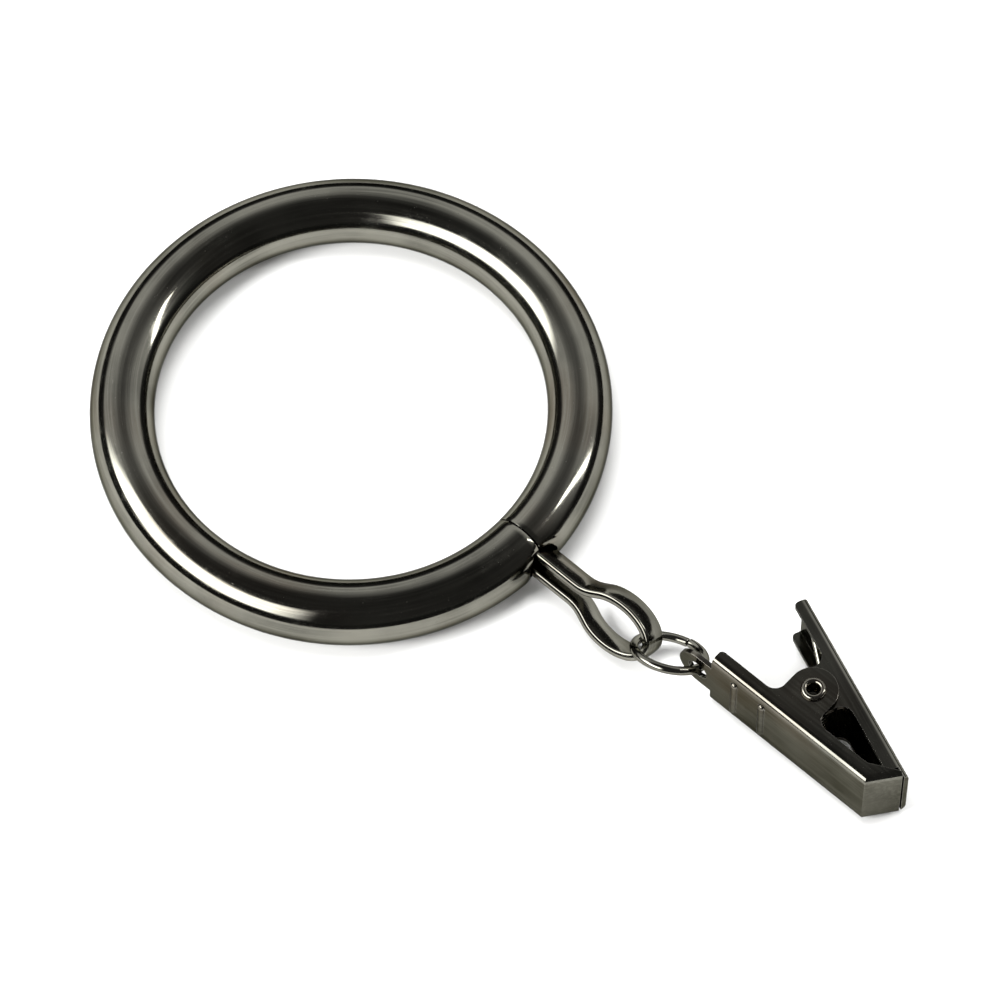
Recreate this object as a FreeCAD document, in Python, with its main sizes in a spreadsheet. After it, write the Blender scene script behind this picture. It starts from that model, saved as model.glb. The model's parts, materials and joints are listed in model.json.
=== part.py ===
import FreeCAD, Part
import math
import os

import Sketcher

# Curtain ring with clip: a bent and butted steel tube, a strip eyelet that swivels in the seam,
# a jump ring and a sprung two-jaw clip. Millimetres. The origin is the ring's centre, +Z is the
# ring's axis and the clip hangs off towards -Y. The ring lies flat and the clip lies on its side.

os.makedirs("parts", exist_ok=True)
doc = FreeCAD.newDocument("CurtainRing")
V = FreeCAD.Vector

drivingSizes = {
    "RingInside": 38.1,
    "TubeDiameter": 6.35,
    "TubeWall": 0.6,
    "SeamGap": 0.12,
    "StripWidth": 2.8,
    "StripThickness": 0.8,
    "NeckWidth": 2.5,
    "NeckLength": 5.0,
    "EyeLength": 8.8,
    "EyeWidth": 5.6,
    "EyeFillet": 0.9,
    "FootSpan": 4.3,
    "FootWidth": 1.6,
    "FootDrop": 2.2,
    "SwivelClearance": 0.12,
    "EyeletTurn": 55,
    "LinkWire": 0.9,
    "LinkOutside": 7.8,
    "LinkGap": 0.1,
    "EyeSlack": 0.55,
    "SheetThickness": 0.5,
    "ClipWidth": 8.2,
    "SideClearance": 0.06,
    "JawAngle": 22,
    "TipHeight": 4.2,
    "FrontLength": 9.9,
    "TailLength": 9.2,
    "LipAngle": 53,
    "ClosingGap": 0.04,
    "FrontFlange": 1.7,
    "TailFlange": 1.5,
    "EarRadius": 2.4,
    "EarFillet": 1.2,
    "FoldRadius": 0.7,
    "TailCorner": 0.45,
    "NoseSetback": 1.2,
    "TabWidth": 4.6,
    "TabHole": 2.2,
    "TabReach": 1.6,
    "RibLength": 5.0,
    "RibRadius": 0.4,
    "RibHeight": 0.3,
    "RibFromEnd": 2.9,
    "RibSpacing": 3.4,
    "RivetShank": 1.8,
    "RivetClearance": 0.06,
    "RivetHead": 2.5,
    "RivetHeadHeight": 0.4,
    "RivetBore": 1.1,
    "RivetBoreDepth": 1.2,
    "SpringWire": 0.6,
    "CoilDiameter": 2.9,
    "CoilPitch": 0.7,
    "CoilTurns": 5,
    "LegReach": 6.5,
    "LegClearance": 0.02,
}

sizes = doc.addObject("Spreadsheet::Sheet", "Sizes")
for row, (alias, value) in enumerate(drivingSizes.items(), start=1):
    sizes.set("A%d" % row, alias)
    sizes.set("B%d" % row, str(value))
    sizes.setAlias("B%d" % row, alias)
doc.recompute()


def size(alias):
    return float(sizes.get(alias))


# Worked-out sizes, as expressions on the sheet. The jaws are drawn about the rivet's axis, with
# the tail towards +Y. Each plate stands RivetDepth away from the rivet.
tubeCentre = "(Sizes.RingInside + Sizes.TubeDiameter) / 2"
ringSurface = "(Sizes.RingInside / 2 + Sizes.TubeDiameter)"
eyeCentre = f"({ringSurface} + Sizes.NeckLength + Sizes.EyeLength / 2)"
eyeBottom = f"({ringSurface} + Sizes.NeckLength + Sizes.EyeLength)"
legInside = "(Sizes.NeckWidth / 2 - Sizes.StripThickness)"
footRadius = f"({tubeCentre} + Sizes.TubeDiameter / 2 - Sizes.FootDrop)"
ribFirst = "(Sizes.TailLength - Sizes.RibFromEnd)"
jaw = "Sizes.JawAngle * 1 deg"
lip = "Sizes.LipAngle * 1 deg"
rivetDepth = f"((Sizes.TipHeight + Sizes.FrontLength * sin({jaw})) / (1 + cos({jaw})))"
lipLength = (f"((Sizes.TipHeight - Sizes.SheetThickness * (1 + cos({jaw} + {lip})) - Sizes.ClosingGap)"
             f" / sin({jaw} + {lip}))")
leverFront = (f"({rivetDepth} * sin({jaw}) + Sizes.FrontLength * cos({jaw})"
              f" + {lipLength} * cos({jaw} + {lip}))")
leverWidth = "(Sizes.ClipWidth - 2 * (Sizes.SheetThickness + Sizes.SideClearance))"
swivelHole = "sqrt(Sizes.StripWidth ^ 2 + Sizes.NeckWidth ^ 2) / 2 + Sizes.SwivelClearance"
rivetHole = "Sizes.RivetShank / 2 + Sizes.RivetClearance"


def worked(expression):
    return float(sizes.evalExpression(expression))


def newBody(label):
    body = doc.addObject("PartDesign::Body", label)
    body.Label = label
    return body


def sketchOn(body, role, name, offset=None):
    """A sketch on one of the body's own planes, raised along the plane's normal by an expression."""
    plane = next(item for item in body.Origin.OriginFeatures if item.Role == role)
    sketch = body.newObject("Sketcher::SketchObject", name)
    sketch.AttachmentSupport = (plane, [""])
    sketch.MapMode = "FlatFace"
    if offset:
        sketch.setExpression("AttachmentOffset.Base.z", offset)
    return sketch


def bindPoint(sketch, geometry, point, across, along):
    """Ties one point of the sketch to a pair of expressions, measured from the sketch's origin."""
    for kind, expression in (("DistanceX", across), ("DistanceY", along)):
        row = sketch.addConstraint(Sketcher.Constraint(kind, -1, 1, geometry, point, worked(expression)))
        sketch.setExpression("Constraints[%d]" % row, expression)


def drawOutline(sketch, corners):
    """A closed outline of straight sides through corners given as pairs of expressions."""
    places = [V(worked(across), worked(along), 0) for across, along in corners]
    count = len(places)
    for number in range(count):
        sketch.addGeometry(Part.LineSegment(places[number], places[(number + 1) % count]), False)
    for number in range(count):
        sketch.addConstraint(Sketcher.Constraint("Coincident", number, 2, (number + 1) % count, 1))
    for number, (across, along) in enumerate(corners):
        bindPoint(sketch, number, 1, across, along)


def drawCircle(sketch, across, along, radius):
    centre = V(worked(across), worked(along), 0)
    circle = sketch.addGeometry(Part.Circle(centre, V(0, 0, 1), worked(radius)), False)
    bindPoint(sketch, circle, 3, across, along)
    row = sketch.addConstraint(Sketcher.Constraint("Radius", circle, worked(radius)))
    sketch.setExpression("Constraints[%d]" % row, radius)


def drawEllipse(sketch, along, halfLength, halfWidth):
    """An ellipse with its long axis along the sketch's Y axis and its centre on that axis."""
    centre = V(0, worked(along), 0)
    tip = centre + V(0, worked(halfLength), 0)
    side = centre + V(worked(halfWidth), 0, 0)
    ellipse = sketch.addGeometry(Part.Ellipse(tip, side, centre), False)
    sketch.exposeInternalGeometry(ellipse)
    longAxis = ellipse + 1
    shortAxis = ellipse + 2
    bindPoint(sketch, ellipse, 3, "0", along)
    sketch.addConstraint(Sketcher.Constraint("Vertical", longAxis))
    for axis, half in ((longAxis, halfLength), (shortAxis, halfWidth)):
        row = sketch.addConstraint(Sketcher.Constraint("Distance", axis, 2 * worked(half)))
        sketch.setExpression("Constraints[%d]" % row, f"2 * {half}")


def pad(body, sketch, length, name, symmetric=True):
    feature = body.newObject("PartDesign::Pad", name)
    feature.Profile = sketch
    feature.SideType = "Symmetric" if symmetric else "One side"
    feature.setExpression("Length", length)
    doc.recompute()
    return feature


def pocket(body, sketch, length, name, symmetric=True, reverse=False):
    """A pocket that is refused if it takes nothing away."""
    before = body.Shape.Volume
    feature = body.newObject("PartDesign::Pocket", name)
    feature.Profile = sketch
    feature.SideType = "Symmetric" if symmetric else "One side"
    feature.Reversed = reverse
    feature.setExpression("Length", length)
    doc.recompute()
    if body.Shape.Volume >= before - 1e-6:
        raise RuntimeError(f"{body.Label}: {name} cuts nothing")
    return feature


def filletEdges(body, radius, name, chosen):
    """Rounds the edges of the body so far that the given test picks out."""
    base = body.Tip
    picked = [f"Edge{number}" for number, edge in enumerate(base.Shape.Edges, start=1) if chosen(edge)]
    if not picked:
        raise RuntimeError(f"{body.Label}: {name} finds no edge")
    feature = body.newObject("PartDesign::Fillet", name)
    feature.Base = (base, picked)
    feature.setExpression("Radius", radius)
    doc.recompute()
    return feature


def standsAt(edge, across, along):
    """True for an edge parallel to Z whose place in the XY plane is the given one."""
    box = edge.BoundBox
    near = 1e-3
    return (box.XLength < near and box.YLength < near and box.ZLength > near
            and abs(box.XMin - across) < near and abs(box.YMin - along) < near)


# Ring: round tube with its two ends butted at -Y, and a hole there for the eyelet.
ring = newBody("ring")
ringSection = sketchOn(ring, "YZ_Plane", "RingSection")
drawCircle(ringSection, tubeCentre, "0", "Sizes.TubeDiameter / 2")
drawCircle(ringSection, tubeCentre, "0", "Sizes.TubeDiameter / 2 - Sizes.TubeWall")
ringTube = ring.newObject("PartDesign::Revolution", "RingTube")
ringTube.Profile = ringSection
ringTube.ReferenceAxis = (ringSection, ["V_Axis"])
ringTube.Midplane = True
ringTube.setExpression("Angle", f"360 deg - 2 * asin(Sizes.SeamGap / 2 / {ringSurface})")
doc.recompute()
swivelSketch = sketchOn(ring, "XZ_Plane", "SwivelHoleCircle", tubeCentre)
drawCircle(swivelSketch, "0", "0", swivelHole)
pocket(ring, swivelSketch, "Sizes.TubeDiameter", "SwivelHole", symmetric=False, reverse=True)

# Eyelet: a strip bent into a keyhole loop. Its two legs pass through the hole in the seam and
# are turned outwards inside the tube. It is drawn flat in XY, hanging towards -Y.
eyelet = newBody("eyelet")
eyeOutline = sketchOn(eyelet, "XY_Plane", "EyeOutline")
drawEllipse(eyeOutline, f"-{eyeCentre}", "Sizes.EyeLength / 2", "Sizes.EyeWidth / 2")
pad(eyelet, eyeOutline, "Sizes.StripWidth", "Eye")
neckOutline = sketchOn(eyelet, "XY_Plane", "NeckOutline")
drawOutline(neckOutline, [
    ("-Sizes.NeckWidth / 2", f"-{footRadius}"),
    ("Sizes.NeckWidth / 2", f"-{footRadius}"),
    ("Sizes.NeckWidth / 2", f"-{eyeCentre}"),
    ("-Sizes.NeckWidth / 2", f"-{eyeCentre}"),
])
pad(eyelet, neckOutline, "Sizes.StripWidth", "Neck")
eyeHole = sketchOn(eyelet, "XY_Plane", "EyeHoleOutline")
drawEllipse(eyeHole, f"-{eyeCentre}", "(Sizes.EyeLength / 2 - Sizes.StripThickness)",
            "(Sizes.EyeWidth / 2 - Sizes.StripThickness)")
pocket(eyelet, eyeHole, "2 * Sizes.StripWidth", "EyeHole")
neckGap = sketchOn(eyelet, "XY_Plane", "NeckGapOutline")
drawOutline(neckGap, [
    (f"-{legInside}", f"-{footRadius} + Sizes.StripThickness"),
    (legInside, f"-{footRadius} + Sizes.StripThickness"),
    (legInside, f"-{eyeCentre}"),
    (f"-{legInside}", f"-{eyeCentre}"),
])
pocket(eyelet, neckGap, "2 * Sizes.StripWidth", "NeckGap")


def atNeck(halfWidth, halfLength, halfEye):
    """A test for the two edges where the neck's side meets the eye's oval."""
    rise = worked(halfLength) * math.sqrt(1 - (worked(halfWidth) / worked(halfEye)) ** 2)
    along = -worked(eyeCentre) + rise
    across = worked(halfWidth)
    return lambda edge: standsAt(edge, across, along) or standsAt(edge, -across, along)


filletEdges(eyelet, "Sizes.EyeFillet", "NeckOutside",
            atNeck("Sizes.NeckWidth / 2", "Sizes.EyeLength / 2", "Sizes.EyeWidth / 2"))
footOutline = sketchOn(eyelet, "XY_Plane", "FootOutline")
drawOutline(footOutline, [
    ("-Sizes.FootSpan / 2", f"-{footRadius}"),
    ("Sizes.FootSpan / 2", f"-{footRadius}"),
    ("Sizes.FootSpan / 2", f"-{footRadius} + Sizes.StripThickness"),
    ("-Sizes.FootSpan / 2", f"-{footRadius} + Sizes.StripThickness"),
])
pad(eyelet, footOutline, "Sizes.FootWidth", "Feet")
footGap = sketchOn(eyelet, "XY_Plane", "FootGapOutline")
drawOutline(footGap, [
    (f"-{legInside}", f"-{footRadius}"),
    (legInside, f"-{footRadius}"),
    (legInside, f"-{footRadius} + 2 * Sizes.StripThickness"),
    (f"-{legInside}", f"-{footRadius} + 2 * Sizes.StripThickness"),
])
pocket(eyelet, footGap, "2 * Sizes.StripWidth", "FootGap")
eyeletTurn = FreeCAD.Rotation(V(0, 1, 0), -size("EyeletTurn"))
eyelet.Placement = FreeCAD.Placement(V(0, 0, 0), eyeletTurn)

# Jump ring: it turns about its own wire in the eyelet's eye, and the clip turns about the wire on
# the far side. It rises from the eye to the clip's mid-width, so that the clip lies on the floor.
linkRadius = (size("LinkOutside") - size("LinkWire")) / 2
linkReach = 2 * linkRadius
eyePivot = V(0, -worked(eyeBottom) + size("StripThickness") + size("LinkWire") / 2 + size("EyeSlack"), 0)
acrossEye = eyeletTurn.multVec(V(1, 0, 0))
clipHeight = size("ClipWidth") / 2 + size("RivetHeadHeight") - size("TubeDiameter") / 2
linkRise = math.degrees(math.asin(clipHeight / (linkReach * acrossEye.z)))
linkTurn = eyeletTurn.multiply(FreeCAD.Rotation(V(0, 0, 1), linkRise))
tabPivot = eyePivot + linkTurn.multVec(V(0, -linkReach, 0))
jumpRing = doc.addObject("Part::Torus", "jump_ring")
jumpRing.Label = "jump_ring"
jumpRing.setExpression("Radius1", "(Sizes.LinkOutside - Sizes.LinkWire) / 2")
jumpRing.setExpression("Radius2", "Sizes.LinkWire / 2")
jumpRing.setExpression("Angle3", "360 deg - 2 * asin(Sizes.LinkGap / (Sizes.LinkOutside - Sizes.LinkWire))")
linkCentre = eyePivot + linkTurn.multVec(V(0, -linkRadius, 0))
jumpRing.Placement = FreeCAD.Placement(linkCentre, linkTurn.multiply(FreeCAD.Rotation(V(0, 1, 0), 90)))


def drawJaw(body, side, corners, channel, width, isLip=lambda edge: False):
    """A folded channel: plate, two flanges with round ears, and the rivet's holes.

    side is -1 for a plate on the -X side of the rivet and 1 for the other. Corners are given as
    distances from the rivet towards the plate and towards the tail. isLip picks the edges of a
    bent nose, which are folded as the plate's are.
    """
    def turned(points):
        return [(f"{side} * ({towards})", along) for towards, along in points]

    envelope = sketchOn(body, "XY_Plane", "Envelope")
    drawOutline(envelope, turned(corners))
    pad(body, envelope, width, "Folded")
    earOutline = sketchOn(body, "XY_Plane", "EarOutline")
    drawCircle(earOutline, "0", "0", "Sizes.EarRadius")
    pad(body, earOutline, width, "Ears")
    tailCorner = side * worked(f"{rivetDepth} - Sizes.TailFlange")
    frontCorner = side * worked(f"{rivetDepth} - Sizes.FrontFlange")
    filletEdges(body, "Sizes.EarFillet", "EarRoots",
                lambda edge: standsAt(edge, tailCorner, size("EarRadius"))
                or standsAt(edge, frontCorner, -size("EarRadius")))
    filletEdges(body, "Sizes.TailCorner", "TailCorners",
                lambda edge: standsAt(edge, tailCorner, size("TailLength")))
    plate = side * worked(rivetDepth)
    halfWidth = worked(width) / 2

    def isFold(edge):
        box = edge.BoundBox
        onSide = box.ZLength < 1e-3 and abs(abs(box.ZMin) - halfWidth) < 1e-3
        onPlate = box.XLength < 1e-3 and abs(box.XMin - plate) < 1e-3
        return onSide and (onPlate or isLip(edge))

    filletEdges(body, "Sizes.FoldRadius", "Folds", isFold)
    channelOutline = sketchOn(body, "XY_Plane", "ChannelOutline")
    drawOutline(channelOutline, turned(channel))
    pocket(body, channelOutline, f"{width} - 2 * Sizes.SheetThickness", "Channel")
    holeOutline = sketchOn(body, "XY_Plane", "RivetHoleOutline")
    drawCircle(holeOutline, "0", "0", rivetHole)
    pocket(body, holeOutline, "2 * Sizes.ClipWidth", "RivetHole")


# Tail jaw: its nose is bent in at LipAngle, and its tail carries two pressed ribs and the tab
# that the jump ring passes through.
lipDepth = f"({lipLength} * sin({lip}))"
lipDrop = f"({lipLength} * cos({lip}))"
innerBend = f"(Sizes.SheetThickness * tan({lip} / 2))"
beyond = "(2 * Sizes.ClipWidth)"
farAlong = f"({beyond} / tan({lip}))"


def atLip(edge):
    """True for an edge that runs from the plate's front end to the outside of the lip's end."""
    box = edge.BoundBox
    return (abs(box.XMin + worked(rivetDepth)) < 1e-3 and abs(box.XLength - worked(lipDepth)) < 1e-3
            and abs(box.YLength - worked(lipDrop)) < 1e-3)


tailJaw = newBody("tail_jaw")
drawJaw(tailJaw, -1, [
    (rivetDepth, "Sizes.TailLength"),
    (f"{rivetDepth} - Sizes.TailFlange", "Sizes.TailLength"),
    (f"{rivetDepth} - Sizes.TailFlange", "Sizes.EarRadius"),
    ("0", "Sizes.EarRadius"),
    ("0", "-Sizes.EarRadius"),
    (f"{rivetDepth} - Sizes.FrontFlange", "-Sizes.EarRadius"),
    (f"{rivetDepth} - Sizes.FrontFlange", "-Sizes.FrontLength + Sizes.NoseSetback"),
    (f"{rivetDepth} - {lipDepth} - Sizes.SheetThickness * cos({lip})",
     f"-Sizes.FrontLength - {lipDrop} + Sizes.SheetThickness * sin({lip})"),
    (f"{rivetDepth} - {lipDepth}", f"-Sizes.FrontLength - {lipDrop}"),
    (rivetDepth, "-Sizes.FrontLength"),
], [
    (f"{rivetDepth} - Sizes.SheetThickness", f"Sizes.TailLength + {beyond}"),
    (f"{rivetDepth} - Sizes.SheetThickness", f"-Sizes.FrontLength + {innerBend}"),
    (f"{rivetDepth} - Sizes.SheetThickness - {beyond}", f"-Sizes.FrontLength + {innerBend} - {farAlong}"),
    (f"{rivetDepth} - Sizes.SheetThickness - {beyond}", f"Sizes.TailLength + {beyond}"),
], "Sizes.ClipWidth", atLip)
holeAlong = "(Sizes.TailLength + Sizes.TabReach)"
tabOutline = sketchOn(tailJaw, "YZ_Plane", "TabOutline", f"-{rivetDepth}")
drawOutline(tabOutline, [
    ("Sizes.TailLength - Sizes.TabReach", "-Sizes.TabWidth / 2"),
    (holeAlong, "-Sizes.TabWidth / 2"),
    (holeAlong, "Sizes.TabWidth / 2"),
    ("Sizes.TailLength - Sizes.TabReach", "Sizes.TabWidth / 2"),
])
pad(tailJaw, tabOutline, "Sizes.SheetThickness", "Tab", symmetric=False)
tabEnd = sketchOn(tailJaw, "YZ_Plane", "TabEndOutline", f"-{rivetDepth}")
drawCircle(tabEnd, holeAlong, "0", "Sizes.TabWidth / 2")
pad(tailJaw, tabEnd, "Sizes.SheetThickness", "TabEnd", symmetric=False)
tabHole = sketchOn(tailJaw, "YZ_Plane", "TabHoleOutline", f"-{rivetDepth} - Sizes.SheetThickness")
drawCircle(tabHole, holeAlong, "0", "Sizes.TabHole / 2")
pocket(tailJaw, tabHole, "3 * Sizes.SheetThickness", "TabHole", symmetric=False, reverse=True)
for number in range(2):
    ribAlong = f"({ribFirst} - {number} * Sizes.RibSpacing)"
    ribOutline = sketchOn(tailJaw, "XY_Plane", f"RibOutline{number + 1}")
    drawCircle(ribOutline, f"-{rivetDepth} - Sizes.RibHeight + Sizes.RibRadius", ribAlong, "Sizes.RibRadius")
    pad(tailJaw, ribOutline, "Sizes.RibLength", f"Rib{number + 1}")
    grooveOutline = sketchOn(tailJaw, "XY_Plane", f"GrooveOutline{number + 1}")
    drawCircle(grooveOutline, f"-{rivetDepth} + Sizes.SheetThickness", ribAlong, "Sizes.RibHeight")
    pocket(tailJaw, grooveOutline, "Sizes.RibLength - Sizes.SheetThickness", f"Groove{number + 1}")

# Lever jaw: it folds the other way, fits between the tail jaw's flanges and ends in a plain
# plate that closes on the tail jaw's nose.
leverJaw = newBody("lever_jaw")
drawJaw(leverJaw, 1, [
    (rivetDepth, "Sizes.TailLength"),
    (f"{rivetDepth} - Sizes.TailFlange", "Sizes.TailLength"),
    (f"{rivetDepth} - Sizes.TailFlange", "Sizes.EarRadius"),
    ("0", "Sizes.EarRadius"),
    ("0", "-Sizes.EarRadius"),
    (f"{rivetDepth} - Sizes.FrontFlange", "-Sizes.EarRadius"),
    (f"{rivetDepth} - Sizes.FrontFlange", f"-{leverFront} + Sizes.NoseSetback"),
    (f"{rivetDepth} - Sizes.SheetThickness", f"-{leverFront} + Sizes.NoseSetback"),
    (f"{rivetDepth} - Sizes.SheetThickness", f"-{leverFront}"),
    (rivetDepth, f"-{leverFront}"),
], [
    (f"{rivetDepth} - Sizes.SheetThickness", f"Sizes.TailLength + {beyond}"),
    (f"{rivetDepth} - Sizes.SheetThickness", f"-{leverFront} - {beyond}"),
    (f"{rivetDepth} - Sizes.SheetThickness - {beyond}", f"-{leverFront} - {beyond}"),
    (f"{rivetDepth} - Sizes.SheetThickness - {beyond}", f"Sizes.TailLength + {beyond}"),
], leverWidth)

# Pivot rivet: domed head below, and a bored end rolled over the upper ear.
pivotRivet = newBody("pivot_rivet")
rivetProfile = sketchOn(pivotRivet, "XZ_Plane", "RivetProfile")
outsideEar = "Sizes.ClipWidth / 2"
headTop = "(Sizes.ClipWidth / 2 + Sizes.RivetHeadHeight)"
drawOutline(rivetProfile, [
    ("0", f"-{headTop}"),
    ("Sizes.RivetHead / 2", f"-{headTop}"),
    ("Sizes.RivetHead / 2", f"-{outsideEar}"),
    ("Sizes.RivetShank / 2", f"-{outsideEar}"),
    ("Sizes.RivetShank / 2", outsideEar),
    ("Sizes.RivetHead / 2", outsideEar),
    ("Sizes.RivetHead / 2", headTop),
    ("Sizes.RivetBore / 2", headTop),
    ("Sizes.RivetBore / 2", f"{headTop} - Sizes.RivetBoreDepth"),
    ("0", f"{headTop} - Sizes.RivetBoreDepth"),
])
rivetTurned = pivotRivet.newObject("PartDesign::Revolution", "RivetTurned")
rivetTurned.Profile = rivetProfile
rivetTurned.ReferenceAxis = (rivetProfile, ["V_Axis"])
rivetTurned.Angle = 360
doc.recompute()


def atHeadRim(edge):
    box = edge.BoundBox
    onTop = abs(abs(box.ZMin) - worked(headTop)) < 1e-3
    return onTop and box.ZLength < 1e-3 and abs(box.XMax - size("RivetHead") / 2) < 1e-3


filletEdges(pivotRivet, "Sizes.RivetHeadHeight * 0.8", "HeadRims", atHeadRim)

# The clip's pieces share one frame: the rivet's axis, at the clip's mid-width.
clipPlace = tabPivot - V(-worked(rivetDepth) + size("SheetThickness") / 2, worked(holeAlong), 0)
closed = FreeCAD.Rotation(V(0, 0, 1), -size("JawAngle"))
tailJaw.Placement = FreeCAD.Placement(clipPlace, FreeCAD.Rotation())
pivotRivet.Placement = FreeCAD.Placement(clipPlace, FreeCAD.Rotation())
leverJaw.Placement = FreeCAD.Placement(clipPlace, closed)


def springShape():
    """Torsion spring: a leg down from each plate, tangent to the coil, and the coil between them."""
    coilRadius = size("CoilDiameter") / 2
    legAcross = worked(rivetDepth) - size("SheetThickness") - size("SpringWire") / 2 - size("LegClearance")
    legEnd = math.hypot(legAcross, size("LegReach"))
    endAngle = math.atan2(size("LegReach"), -legAcross)
    startAngle = endAngle + math.acos(coilRadius / legEnd)
    stopAngle = math.pi - startAngle - math.radians(size("JawAngle"))
    sweep = (stopAngle - startAngle) % (2 * math.pi) + 2 * math.pi * size("CoilTurns")
    height = size("CoilPitch") * sweep / (2 * math.pi)
    coil = Part.makeHelix(size("CoilPitch"), height, coilRadius)
    coil.rotate(V(0, 0, 0), V(0, 0, 1), math.degrees(startAngle))
    coil.translate(V(0, 0, -height / 2))
    edge = coil.Edges[0]
    legLength = math.sqrt(legEnd ** 2 - coilRadius ** 2)
    slope = math.hypot(1, size("CoilPitch") / (2 * math.pi * coilRadius))
    start = edge.valueAt(edge.FirstParameter)
    stop = edge.valueAt(edge.LastParameter)
    startWay = edge.tangentAt(edge.FirstParameter).normalize()
    stopWay = edge.tangentAt(edge.LastParameter).normalize()
    firstEnd = start - startWay * legLength * slope
    lastEnd = stop + stopWay * legLength * slope
    path = Part.Wire([Part.makeLine(firstEnd, start), edge, Part.makeLine(stop, lastEnd)])
    section = Part.Wire([Part.makeCircle(size("SpringWire") / 2, firstEnd, startWay)])
    return path.makePipeShell([section], True, True)


torsionSpring = doc.addObject("Part::Feature", "torsion_spring")
torsionSpring.Label = "torsion_spring"
torsionSpring.Shape = springShape()
torsionSpring.Placement = FreeCAD.Placement(clipPlace, FreeCAD.Rotation())

subParts = [ring, eyelet, jumpRing, tailJaw, leverJaw, pivotRivet, torsionSpring]
doc.recompute()
failed = [item.Name for item in doc.Objects if "Invalid" in item.State or "Error" in item.State]
if failed:
    raise RuntimeError("failed objects: " + ", ".join(failed))
for item in subParts:
    if item.Shape.isNull() or not item.Shape.isValid():
        raise RuntimeError(item.Label + " has no valid shape")
    print(item.Label, "solids", len(item.Shape.Solids), "volume", round(item.Shape.Volume, 2))
for item in subParts:
    item.Shape.exportStep(f"parts/{item.Label}.step")
print("eye pivot", tuple(round(value, 3) for value in eyePivot))
print("tab pivot", tuple(round(value, 3) for value in tabPivot))
print("rivet", tuple(round(value, 3) for value in clipPlace))
print("swing axis", tuple(round(value, 5) for value in eyeletTurn.multVec(V(0, 0, 1))))
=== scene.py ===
import json
import math

import bmesh
import bpy
from mathutils import Matrix, Vector


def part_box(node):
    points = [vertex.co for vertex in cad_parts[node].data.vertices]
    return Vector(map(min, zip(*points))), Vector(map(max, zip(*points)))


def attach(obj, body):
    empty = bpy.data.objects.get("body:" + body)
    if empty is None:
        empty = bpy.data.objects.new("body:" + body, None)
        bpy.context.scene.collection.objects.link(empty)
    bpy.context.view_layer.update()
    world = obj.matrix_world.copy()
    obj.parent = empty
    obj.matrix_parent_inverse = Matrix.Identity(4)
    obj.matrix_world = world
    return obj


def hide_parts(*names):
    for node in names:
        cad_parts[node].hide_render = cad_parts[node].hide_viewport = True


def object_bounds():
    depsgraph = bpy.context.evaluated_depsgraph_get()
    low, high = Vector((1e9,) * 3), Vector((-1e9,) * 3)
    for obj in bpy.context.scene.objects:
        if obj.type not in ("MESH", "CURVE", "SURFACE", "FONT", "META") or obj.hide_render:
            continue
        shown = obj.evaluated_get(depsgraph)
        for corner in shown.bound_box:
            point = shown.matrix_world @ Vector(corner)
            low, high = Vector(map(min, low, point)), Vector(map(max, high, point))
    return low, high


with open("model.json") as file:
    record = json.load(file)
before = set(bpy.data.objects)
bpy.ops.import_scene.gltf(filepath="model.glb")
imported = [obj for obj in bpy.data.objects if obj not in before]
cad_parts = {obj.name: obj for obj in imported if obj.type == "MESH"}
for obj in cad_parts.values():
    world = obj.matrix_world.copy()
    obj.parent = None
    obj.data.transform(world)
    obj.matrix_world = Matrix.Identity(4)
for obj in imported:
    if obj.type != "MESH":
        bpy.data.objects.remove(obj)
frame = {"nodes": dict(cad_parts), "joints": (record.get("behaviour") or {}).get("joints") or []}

# Looks of the curtain ring with clip. Sizes are in millimetres and become metres where a mesh is
# made. The joints say where the pieces turn.

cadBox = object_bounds()
mm = 0.001
micron = 1e-6
joints = {joint["name"]: joint for joint in frame["joints"]}


def jointPlace(name):
    return Vector(joints[name]["pos_m"]) / mm


def boxSize(node):
    low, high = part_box(node)
    return (high - low) / mm


swingAxis = Vector(joints["link_swing"]["axis"]).normalized()
eyePivot = jointPlace("link_swing")
tabPivot = jointPlace("clip_swing")
rivetPlace = jointPlace("jaw_open")


# One output of a shader node. Arithmetic on it adds Math nodes.
class Flow:
    def __init__(self, finish, socket):
        self.finish = finish
        self.socket = socket

    def __add__(self, other):
        return self.finish.maths("ADD", self, other)

    def __radd__(self, other):
        return self.finish.maths("ADD", other, self)

    def __sub__(self, other):
        return self.finish.maths("SUBTRACT", self, other)

    def __rsub__(self, other):
        return self.finish.maths("SUBTRACT", other, self)

    def __mul__(self, other):
        return self.finish.maths("MULTIPLY", self, other)

    def __rmul__(self, other):
        return self.finish.maths("MULTIPLY", other, self)

    def __pow__(self, other):
        return self.finish.maths("POWER", self, other)


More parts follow.
